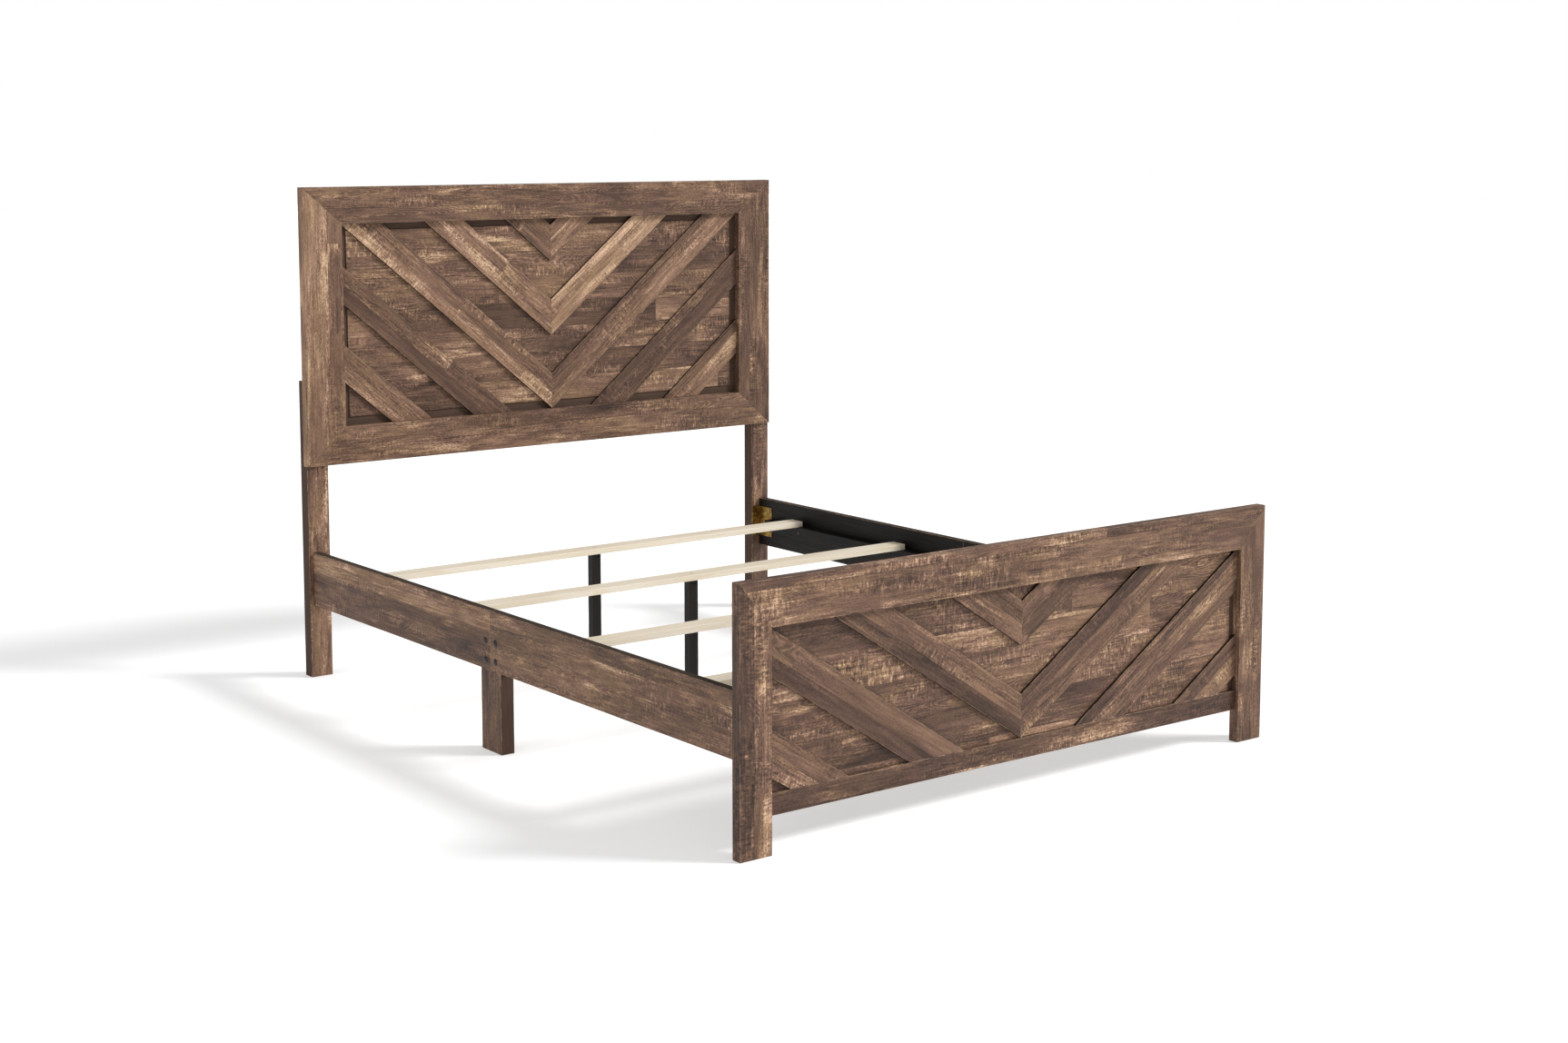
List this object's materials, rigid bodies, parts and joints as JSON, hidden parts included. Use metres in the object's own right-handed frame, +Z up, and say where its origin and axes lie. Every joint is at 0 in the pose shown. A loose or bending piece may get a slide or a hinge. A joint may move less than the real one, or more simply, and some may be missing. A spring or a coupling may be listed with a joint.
{
  "type": "bed frame",
  "caption": "Rustic wooden bed frame with a mitred chevron headboard and footboard, jointed side rails with middle legs, and loose slats carried by ledgers and centre posts.",
  "frame": {"origin": "on the floor, under the middle of the bed", "axes": "+X across the bed, +Y along it towards the headboard, +Z up"},
  "size_m": [1.664, 2.118, 1.395],
  "materials": {
    "woodgrain": "satin",
    "backing": "matte",
    "pine": "matte",
    "black_wood": "satin",
    "beech": "matte",
    "black_bolt": "satin",
    "zinc": "satin",
    "yellow_zinc": "satin",
    "glide": "matte"
  },
  "bodies": {
    "root": {"headboard_top_rail": "woodgrain", "headboard_bottom_rail": "woodgrain", "headboard_left_stile": "woodgrain", "headboard_right_stile": "woodgrain", "headboard_plank_panel": "woodgrain", "headboard_backing_panel": "backing", "headboard_board_1_left": "woodgrain", "headboard_board_1_right": "woodgrain", "headboard_board_2_left": "woodgrain", "headboard_board_2_right": "woodgrain", "headboard_board_3_left": "woodgrain", "headboard_board_3_right": "woodgrain", "headboard_board_4_left": "woodgrain", "headboard_board_4_right": "woodgrain", "headboard_board_5_left": "woodgrain", "headboard_board_5_right": "woodgrain", "headboard_left_leg": "woodgrain", "headboard_right_leg": "woodgrain", "headboard_dowels": "beech", "headboard_leg_bolts": "zinc", "footboard_top_rail": "woodgrain", "footboard_bottom_rail": "woodgrain", "footboard_left_leg": "woodgrain", "footboard_right_leg": "woodgrain", "footboard_plank_panel": "woodgrain", "footboard_backing_panel": "backing", "footboard_board_1_left": "woodgrain", "footboard_board_1_right": "woodgrain", "footboard_board_2_left": "woodgrain", "footboard_board_2_right": "woodgrain", "footboard_board_3_left": "woodgrain", "footboard_board_3_right": "woodgrain", "footboard_board_4_left": "woodgrain", "footboard_board_4_right": "woodgrain", "footboard_dowels": "beech", "left_rail_head_half": "woodgrain", "left_rail_foot_half": "woodgrain", "right_rail_head_half": "woodgrain", "right_rail_foot_half": "woodgrain", "left_middle_leg": "woodgrain", "right_middle_leg": "woodgrain", "rail_joint_bolts": "black_bolt", "rail_joint_nuts": "zinc", "left_ledgers": "black_wood", "right_ledgers": "black_wood", "ledger_screws": "zinc", "corner_brackets": "yellow_zinc", "bracket_screws": "yellow_zinc", "slat_1": "pine", "slat_2": "pine", "slat_3": "pine", "slat_4": "pine", "slat_screws": "zinc", "centre_post_1": "black_wood", "centre_post_2": "black_wood", "centre_post_3": "black_wood", "centre_post_4": "black_wood", "post_glides": "glide"}
  },
  "joints": []
}
